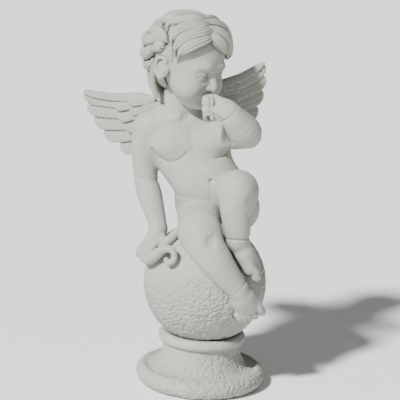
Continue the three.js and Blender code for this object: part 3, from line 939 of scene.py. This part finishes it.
def turned_tree():
    """A profile turned round the upright axis, then chiselled where its smooth share is low."""
    g = Grower("Turned and chiselled", [
        ("Profile", "NodeSocketObject"), ("Sides", "NodeSocketInt"), ("Rows", "NodeSocketInt"),
        ("Chisel depth", "NodeSocketFloat"), ("Mark size", "NodeSocketFloat"),
        ("Rough below", "NodeSocketFloat"), ("Fade", "NodeSocketFloat"), ("Side fade", "NodeSocketFloat"),
        ("Stone", "NodeSocketMaterial")])
    sides = g.maths("ADD", g.inputs["Sides"], 1)
    sheet = g.node("GeometryNodeMeshGrid", {"Size X": 1.0, "Size Y": 1.0, "Vertices X": sides,
                                            "Vertices Y": g.inputs["Rows"]}).outputs["Mesh"]
    at = g.node("GeometryNodeInputPosition").outputs[0]
    split = g.node("ShaderNodeSeparateXYZ", {0: at}).outputs
    turn = g.maths("MULTIPLY", g.maths("ADD", split["X"], 0.5), TAU)
    share = g.maths("ADD", split["Y"], 0.5)
    profile = g.node("GeometryNodeObjectInfo", {"Object": g.inputs["Profile"]}).outputs["Geometry"]
    sample = g.node("GeometryNodeSampleCurve", {"Curves": profile, "Factor": share}, mode="FACTOR",
                    use_all_curves=True)
    reach = g.node("ShaderNodeSeparateXYZ", {0: sample.outputs["Position"]}).outputs
    x = g.maths("MULTIPLY", reach["X"], g.maths("COSINE", turn))
    y = g.maths("MULTIPLY", reach["X"], g.maths("SINE", turn))
    placed = g.node("ShaderNodeCombineXYZ", {"X": x, "Y": y, "Z": reach["Z"]}).outputs[0]
    turned = g.node("GeometryNodeSetPosition", {"Geometry": sheet, "Position": placed}).outputs[0]
    closed = g.node("GeometryNodeMergeByDistance", {"Geometry": turned, "Distance": 1e-5}).outputs[0]

    spot = g.node("GeometryNodeInputPosition").outputs[0]
    scale = g.maths("DIVIDE", 1.0, g.inputs["Mark size"])
    slanted = g.node("ShaderNodeVectorRotate", {"Vector": spot, "Axis": (0.3, 1.0, 0.0), "Angle": 0.6},
                     rotation_type="AXIS_ANGLE").outputs[0]
    long_marks = g.vector("MULTIPLY", slanted, (0.55, 0.8, 1.0))
    wander = g.node("ShaderNodeTexNoise", {"Vector": spot, "Scale": 45.0, "Detail": 1.0}).outputs["Color"]
    bent = g.vector("ADD", long_marks, g.vector("MULTIPLY", wander, (0.010, 0.010, 0.010)))
    worms = g.node("ShaderNodeTexNoise", {"Vector": bent, "Scale": scale, "Detail": 1.5,
        "Roughness": 0.5}).outputs["Fac"]
    ridge = g.maths("MULTIPLY", g.maths("ABSOLUTE", g.maths("SUBTRACT", worms, 0.5)), 7.5)
    ridge = g.maths("SUBTRACT", 1.0, g.maths("MINIMUM", ridge, 1.0))
    broad = g.node("ShaderNodeTexNoise", {"Vector": spot, "Scale": 18.0, "Detail": 2.0}).outputs["Fac"]
    split2 = g.node("ShaderNodeSeparateXYZ", {0: spot}).outputs
    level = g.maths("SUBTRACT", g.inputs["Rough below"], split2["Z"])
    level = g.maths("ADD", level, g.maths("MULTIPLY", split2["X"], g.inputs["Side fade"]))
    level = g.maths("ADD", level, g.maths("MULTIPLY", g.maths("SUBTRACT", broad, 0.5), g.inputs["Fade"]))
    rough = g.node("ShaderNodeMapRange", {"Value": g.maths("DIVIDE", level, g.inputs["Fade"]),
        "From Min": -0.5,
                                          "From Max": 0.5, "To Min": 0.08, "To Max": 1.0},
                   interpolation_type="SMOOTHSTEP").outputs["Result"]
    lift = g.maths("MULTIPLY", g.maths("MULTIPLY", g.maths("SUBTRACT", ridge, 1.0), rough),
        g.inputs["Chisel depth"])
    normal = g.node("GeometryNodeInputNormal").outputs[0]
    offset = g.node("ShaderNodeVectorMath", {0: normal, "Scale": lift}, operation="SCALE").outputs[0]
    cut = g.node("GeometryNodeSetPosition", {"Geometry": closed, "Offset": offset}).outputs[0]
    # Painted shade: the chisel grooves are marked so that the stone material darkens them.
    marked = g.node("GeometryNodeStoreNamedAttribute", {"Geometry": cut, "Name": "hollow",
                    "Value": g.maths("MULTIPLY", g.maths("SUBTRACT", 1.0, ridge), g.maths("MULTIPLY",
                        rough, 0.62))},
                    data_type="FLOAT", domain="POINT").outputs[0]
    smooth = g.node("GeometryNodeSetShadeSmooth", {"Geometry": marked}).outputs[0]
    g.finish(smooth, g.inputs["Stone"])
    return g


def profile_object(name, points):
    """A curve in the XZ plane: x is the radius and z the height, in metres."""
    curve = bpy.data.curves.new(name, "CURVE")
    curve.dimensions = "3D"
    spline = curve.splines.new("POLY")
    spline.points.add(len(points) - 1)
    for point, (radius, height) in zip(spline.points, points):
        point.co = (radius, 0, height, 1)
    made = bpy.data.objects.new(name, curve)
    bpy.context.collection.objects.link(made)
    return made


def arc(radius, height, tube, start, end, count):
    angles = np.radians(np.linspace(start, end, count))
    return [(radius + tube * math.cos(a), height + tube * math.sin(a)) for a in angles]


def turn_piece(name, profile, sides, rows, values):
    grower = turned_tree()
    curve = profile_object(name + "_profile", [(r * MM, z * MM) for r, z in profile])
    seed = bpy.data.meshes.new(name + "_seed")
    piece = grow(name, seed, grower, {"Profile": curve, "Sides": sides, "Rows": rows, **values})
    bpy.data.objects.remove(curve)
    outwards(piece.data)
    return piece


def outwards(mesh):
    """Turns a closed mesh's faces to look outwards."""
    body = bmesh.new()
    body.from_mesh(mesh)
    bmesh.ops.recalc_face_normals(body, faces=body.faces)
    body.to_mesh(mesh)
    body.free()


# ---------------------------------------------------------------- feathers

def feather_mesh(barbs):
    """A closed feather one long and one half-width wide each way, its lower edge tilted to the front."""
    along, across = 46, 14
    grid = []
    for side in (1, -1):
        for i in range(along + 1):
            s = i / along
            for j in range(-across, across + 1):
                t = j / across
                reach = 1.0 - 0.05 * (1 - t) - 0.09 * abs(t) ** 2.5
                wide = 0.72 + 0.28 * math.sin(math.pi / 2 * min(1.0, s * 2.2))
                edge = (1 - abs(t) ** 4) ** 0.6 if abs(t) < 1 else 0.0
                rib = math.exp(-((t - 0.1) / 0.10) ** 2)
                barb = 0.5 + 0.5 * math.sin(TAU * barbs * (s - abs(t - 0.1) * 0.15) + (1.3 if t > 0.1 else 0))
                height = 0.16 + 0.30 * edge + 0.38 * rib + 0.42 * barb * edge * (1 - rib)
                height *= min(1.0, (1 - s) * 16 + 0.3)
                grid.append((s * reach, height * side + 0.62 * t, t * wide))
    width = 2 * across + 1
    top = (along + 1) * width
    faces = []
    for base in (0, top):
        for i in range(along):
            for j in range(width - 1):
                a = base + i * width + j
                faces.append((a, a + 1, a + 1 + width, a + width))
    rim = [i * width for i in range(along + 1)] + [along * width + j for j in range(1, width)]
    rim += [i * width + width - 1 for i in range(along - 1, -1, -1)] + [j for j in range(width - 2, 0, -1)]
    for a, b in zip(rim, rim[1:] + rim[:1]):
        faces.append((a, b, b + top, a + top))
    mesh = bpy.data.meshes.new("feather")
    mesh.from_pydata(grid, [], faces)
    mesh.update()
    outwards(mesh)
    return mesh


FEATHERS = [  # in the wing's plane: start, end (outwards, upwards), half width, layer towards the front
    ((52, 34), (164, 36), 13, 0), ((42, 14), (157, 12), 14, -0.6), ((32, -8), (142, -14), 14.5, -1.2),
    ((20, -30), (120, -41), 14.5, -1.8), ((8, -54), (85, -66), 14, -2.4), ((0, -70), (54, -87), 12, -3.0),
    ((14, 42), (166, 47), 7.5, 3.0),
    ((24, 38), (98, 24), 11, 4.5), ((20, 19), (88, 0), 12, 3.9), ((14, 0), (72, -24), 12.5, 3.3),
    ((6, -22), (52, -48), 12, 2.7),
    ((6, 40), (66, 36), 9.5, 8), ((4, 27), (62, 14), 10, 7.5), ((0, 12), (46, -8), 10, 7), ((-4, -6), (32,
        -30), 9.5, 6.5),
    ((-12, 26), (34, 24), 8.5, 11), ((-14, 12), (24, 2), 8.5, 10.5),
]


def feather_tree():
    """Feathers set on points, each with its own size and turn."""
    g = Grower("Feathered wing", [("Feather", "NodeSocketObject"), ("Stone", "NodeSocketMaterial")])
    feather = g.node("GeometryNodeObjectInfo", {"Object": g.inputs["Feather"]}).outputs["Geometry"]
    size = g.node("GeometryNodeInputNamedAttribute", {"Name": "size"},
        data_type="FLOAT_VECTOR").outputs["Attribute"]
    turn = g.node("GeometryNodeInputNamedAttribute", {"Name": "turn"},
        data_type="FLOAT_VECTOR").outputs["Attribute"]
    turning = g.node("FunctionNodeEulerToRotation", {0: turn}).outputs[0]
    points = g.node("GeometryNodeMeshToPoints", {"Mesh": g.inputs["Geometry"]}).outputs[0]
    placed = g.node("GeometryNodeInstanceOnPoints", {"Points": points, "Instance": feather,
        "Rotation": turning,
                                                    "Scale": size}).outputs[0]
    g.finish(placed, g.inputs["Stone"])
    return g


def wing_frame(root, outward, lift, sweep):
    """Axes of a wing: its own x outwards, y to the back and z up."""
    turn = Matrix.Rotation(math.radians(sweep), 3, "Z") @ Matrix.Rotation(math.radians(-lift), 3, "Y")
    axes = np.array(turn)
    axes[0] *= outward
    return Placed(root, axes)


def wing_seed(name):
    mesh = bpy.data.meshes.new(name)
    count = len(FEATHERS)
    mesh.vertices.add(count)
    sizes, turns = [], []
    for number, ((x0, z0), (x1, z1), half, layer) in enumerate(FEATHERS):
        length = math.hypot(x1 - x0, z1 - z0)
        mesh.vertices[number].co = (x0 * MM, -layer * MM, z0 * MM)
        sizes += [length * MM, 4.2 * MM, half * MM]
        turns += [0.0, -math.atan2(z1 - z0, x1 - x0), 0.0]
    for label, values in (("size", sizes), ("turn", turns)):
        mark = mesh.attributes.new(label, "FLOAT_VECTOR", "POINT")
        mark.data.foreach_set("vector", values)
    return mesh


def carve_wing(block, place):
    """The arm of a wing and the thin blade behind its feathers, cupped forwards like them."""
    arm = [[-28, 3, -14, 17], [0, 5, 8, 17], [20, 6, 27, 15.5], [40, 5, 37, 12], [70, 3, 40, 7.5], [112,
        -1, 40, 6],
           [150, -6, 42, 4.5]]
    blade = [[4, 1, -32, 40], [48, 0, -14, 40], [90, -2, 6, 30], [130, -6, 22, 14]]
    block.add(place(limb(blade, flat=([0, 1, 0], 18))), 0)
    block.add(place(limb(arm)), 8)


def bend_wing(points):
    """Each feather sags a little on its way out and its tip lifts, and the wing cups forwards."""
    x, y, z = points.T
    reach = np.clip(x / (150 * MM), -0.2, 1.1)
    z = z - 7 * MM * np.sin(math.pi * np.clip(reach, 0, 1)) * 0.9
    y = y - 10 * MM * reach ** 2
    return np.stack([x, y, z], 1)


# ---------------------------------------------------------------- operators

class PUTTO_OT_figure(bpy.types.Operator):
    """Carves the child's body, arms, legs, hands, feet and its bow out of one block"""

    bl_idname = "putto.figure"
    bl_label = "Carve the figure"

    def execute(self, context):
        settings = settings_of(context)
        step = settings.carving_step / MM * 1.0
        block = Block([-192, -182, 160], [132, 106, 808], step)
        carve_torso(block)
        carve_legs(block)
        carve_arms(block)
        crease_torso(block)
        crease_legs(block)
        carve_feet(block)
        carve_bow(block)
        carve_right_hand(block)
        carve_left_hand(block)
        add_carving(context, block, "body", settings.figure_faces)
        return {"FINISHED"}


class PUTTO_OT_head(bpy.types.Operator):
    """Carves the head with its hair"""

    bl_idname = "putto.head"
    bl_label = "Carve the head"

    def execute(self, context):
        settings = settings_of(context)
        step = settings.carving_step / MM * 0.8
        block = Block([-168, -124, 584], [68, 100, 806], step)
        head = head_frame()
        carve_face(block, head)
        carve_ears(block, head)
        carve_hair(block, head)
        finish_nape(block, head)
        add_carving(context, block, "head", settings.figure_faces)
        return {"FINISHED"}


class PUTTO_OT_wings(bpy.types.Operator):
    """Sets overlapping feathers into two wings"""

    bl_idname = "putto.wings"
    bl_label = "Feather the wings"

    def execute(self, context):
        settings = settings_of(context)
        feather = bpy.data.objects.new("feather", feather_mesh(settings.barbs))
        context.collection.objects.link(feather)
        stone = stone_material(settings, "feathered stone", marked=False)
        for name, root, outward, lift, sweep in (("right_wing", [-116, 62, 558], -1, -2, 8),
                                                 ("left_wing", [-26, 62, 573], 1, 23, 13)):
            piece = grow(name, wing_seed(name + "_seed"), feather_tree(), {"Feather": feather,
                "Stone": stone})
            count = len(piece.data.vertices)
            points = np.empty(count * 3, np.float32)
            piece.data.vertices.foreach_get("co", points)
            placed = wing_frame(root, outward, lift, sweep)
            points = bend_wing(points.reshape(-1, 3)) @ placed.axes.T + placed.centre * MM
            core = np.array([placed.point([x, y, z]) for x in (-50, 162) for y in (-30, 30) for z in (-92,
                66)])
            block = Block(core.min(0), core.max(0), settings.carving_step / MM)
            carve_wing(block, placed)
            add_carving(context, block, name + "_arm", 12000)
            piece.data.vertices.foreach_set("co", points.astype(np.float32).ravel())
            if outward < 0:
                piece.data.flip_normals()
            piece.data.polygons.foreach_set("use_smooth", [True] * len(piece.data.polygons))
            piece.data.update()
            finish_piece(piece, FIGURE_NODE)
        bpy.data.objects.remove(feather)
        return {"FINISHED"}


class PUTTO_OT_ball(bpy.types.Operator):
    """Turns the ball and chisels its lower part"""

    bl_idname = "putto.ball"
    bl_label = "Turn the ball"

    def execute(self, context):
        settings = settings_of(context)
        radius = settings.ball_radius / MM
        profile = arc(0, settings.ball_height / MM, radius, -90, 90, 121)
        piece = turn_piece("chiselled_ball", profile, 410, 200, {
            "Chisel depth": settings.peck_depth, "Mark size": settings.peck_size,
            "Rough below": settings.ball_height + 0.055, "Fade": 0.07, "Side fade": 0.35,
            "Stone": stone_material(settings, "chiselled stone", marked=True)})
        finish_piece(piece, FIGURE_NODE)
        return {"FINISHED"}


class PUTTO_OT_foot(bpy.types.Operator):
    """Turns the round foot that carries the ball"""

    bl_idname = "putto.foot"
    bl_label = "Turn the foot"

    def execute(self, context):
        settings = settings_of(context)
        tube = 20.5
        ring_radius = FOOT_RADIUS - tube - 0.4
        collar_tube = 12
        collar_radius = 81
        collar_height = FOOT_TOP - collar_tube
        dish = BALL_RADIUS + 0.3
        profile = [(0, 0), (ring_radius * 0.5, 0)]
        profile += arc(ring_radius, tube, tube, -90, 78, 26)
        profile += [(ring_radius - 1, 2 * tube - 2.6), (ring_radius - 4, 2 * tube - 4.2),
            (ring_radius - 7, 2 * tube - 2.8)]
        foot_wide, foot_low = ring_radius - 9, 2 * tube - 1.5
        neck, neck_high = 82, collar_height - collar_tube + 1
        for i in range(1, 19):
            a = math.radians(90 * i / 18)
            profile.append((foot_wide - (foot_wide - neck) * math.sin(a),
                            neck_high - (neck_high - foot_low) * math.cos(a)))
        profile += arc(collar_radius, collar_height, collar_tube, -72, 88, 20)
        rim = math.asin((collar_radius - 8) / dish)
        for i in range(10):
            a = rim * (1 - i / 9)
            profile.append((dish * math.sin(a), BALL_HEIGHT - dish * math.cos(a)))
        piece = turn_piece("turned_foot", profile, 420, 150, {
            "Chisel depth": settings.peck_depth * 0.8, "Mark size": settings.peck_size,
            "Rough below": 0.085, "Fade": 0.08, "Side fade": 0.35,
            "Stone": stone_material(settings, "turned stone", marked=True)})
        finish_piece(piece, FOOT_NODE)
        return {"FINISHED"}


class PUTTO_OT_bunch(bpy.types.Operator):
    """Sets upright ribs round a core for the small bunch held at the mouth"""

    bl_idname = "putto.bunch"
    bl_label = "Make the bunch"

    def execute(self, context):
        settings = settings_of(context)
        block = Block([-40, -130, 560], [20, -70, 650], 0.8)
        ribs = 7
        for i in range(ribs):
            turn = TAU * i / ribs
            x, y = -12 + 9 * math.cos(turn), -100 + 8 * math.sin(turn)
            drop = 8 * math.cos(turn * 2 + 1)
            beads = [[x, y, 627, 5], [x, y, 618, 6.2], [x + 1, y, 611, 5.0], [x + 1, y, 604, 6.0],
                     [x + 2, y, 598 - drop / 2, 4.8], [x + 3, y, 592 - drop * 0.7, 4.8]]
            block.add(limb(beads), 0.8)
        add_carving(context, block, "bunch", 16000)
        return {"FINISHED"}


class PUTTO_OT_stage(bpy.types.Operator):
    """Sets a pale floor, soft light and the camera"""

    bl_idname = "putto.stage"
    bl_label = "Set the stage"

    def execute(self, context):
        scene = context.scene
        floor_mesh = bpy.data.meshes.new("floor")
        reach = 30.0
        floor_mesh.from_pydata([(-reach, -reach, 0), (reach, -reach, 0), (reach, reach, 0), (-reach,
            reach, 0)], [],
                               [(0, 1, 2, 3)])
        floor = bpy.data.objects.new("floor", floor_mesh)
        pale = bpy.data.materials.new("pale floor")
        pale.use_nodes = True
        shader = pale.node_tree.nodes["Principled BSDF"]
        shader.inputs["Base Color"].default_value = (0.96, 0.96, 0.96, 1)
        shader.inputs["Roughness"].default_value = 0.9
        floor_mesh.materials.append(pale)
        context.collection.objects.link(floor)
        world = bpy.data.worlds.new("studio")
        world.use_nodes = True
        world.node_tree.nodes["Background"].inputs["Color"].default_value = (1, 1, 1, 1)
        world.node_tree.nodes["Background"].inputs["Strength"].default_value = 0.22
        scene.world = world
        self.sun(context, (-0.62, -0.80, 0.84), 6, 7.5)
        self.light(context, "fill", (2.4, -2.6, 1.2), 2.0, 5)
        self.camera(context)
        return {"FINISHED"}

    @staticmethod
    def sun(context, way, spread, strength):
        lamp = bpy.data.lights.new("key", "SUN")
        lamp.energy = strength
        lamp.angle = math.radians(spread)
        made = bpy.data.objects.new("key", lamp)
        made.rotation_euler = Vector(way).to_track_quat("Z", "Y").to_euler()
        context.collection.objects.link(made)

    @staticmethod
    def light(context, name, place, size, power):
        lamp = bpy.data.lights.new(name, "AREA")
        lamp.energy = power
        lamp.shape = "DISK"
        lamp.size = size
        made = bpy.data.objects.new(name, lamp)
        made.location = place
        aim = Vector((0, 0, 0.42)) - Vector(place)
        made.rotation_euler = aim.to_track_quat("-Z", "Y").to_euler()
        context.collection.objects.link(made)

    @staticmethod
    def camera(context):
        lens = bpy.data.cameras.new("camera")
        lens.lens = 129.06
        lens.sensor_width = 36.0
        made = bpy.data.objects.new("camera", lens)
        target = Vector((-0.0193, 0, 0.3965))
        pitch, roll, distance = math.radians(12.5), math.radians(3.0), 3.0
        ahead = Vector((0, math.cos(pitch), -math.sin(pitch)))
        right = Vector((1, 0, 0))
        up = right.cross(ahead)
        across = right * math.cos(roll) + up * math.sin(roll)
        high = up * math.cos(roll) - right * math.sin(roll)
        turn = Matrix((across, high, -ahead)).transposed().to_4x4()
        made.matrix_world = Matrix.Translation(target - ahead * distance) @ turn
        context.collection.objects.link(made)
        context.scene.camera = made


class PUTTO_PT_panel(bpy.types.Panel):
    """Lists the pieces and their settings"""

    bl_idname = "PUTTO_PT_panel"
    bl_label = "Garden putto"
    bl_space_type = "VIEW_3D"
    bl_region_type = "UI"
    bl_category = "Putto"

    def draw(self, context):
        settings = settings_of(context)
        for name in settings.bl_rna.properties.keys():
            if name not in ("rna_type", "name"):
                self.layout.prop(settings, name)
        for operator in OPERATORS:
            self.layout.operator(operator.bl_idname)


OPERATORS = (PUTTO_OT_figure, PUTTO_OT_head, PUTTO_OT_bunch, PUTTO_OT_wings, PUTTO_OT_ball, PUTTO_OT_foot,
    PUTTO_OT_stage)


def register():
    for cls in (PuttoSettings, *OPERATORS, PUTTO_PT_panel):
        bpy.utils.register_class(cls)
    bpy.types.Scene.putto = bpy.props.PointerProperty(type=PuttoSettings)


def unregister():
    del bpy.types.Scene.putto
    for cls in reversed((PuttoSettings, *OPERATORS, PUTTO_PT_panel)):
        bpy.utils.unregister_class(cls)


def main():
    register()
    bpy.ops.putto.figure()
    bpy.ops.putto.head()
    bpy.ops.putto.bunch()
    bpy.ops.putto.wings()
    bpy.ops.putto.ball()
    bpy.ops.putto.foot()
    bpy.ops.putto.stage()


if __name__ == "__main__":
    main()
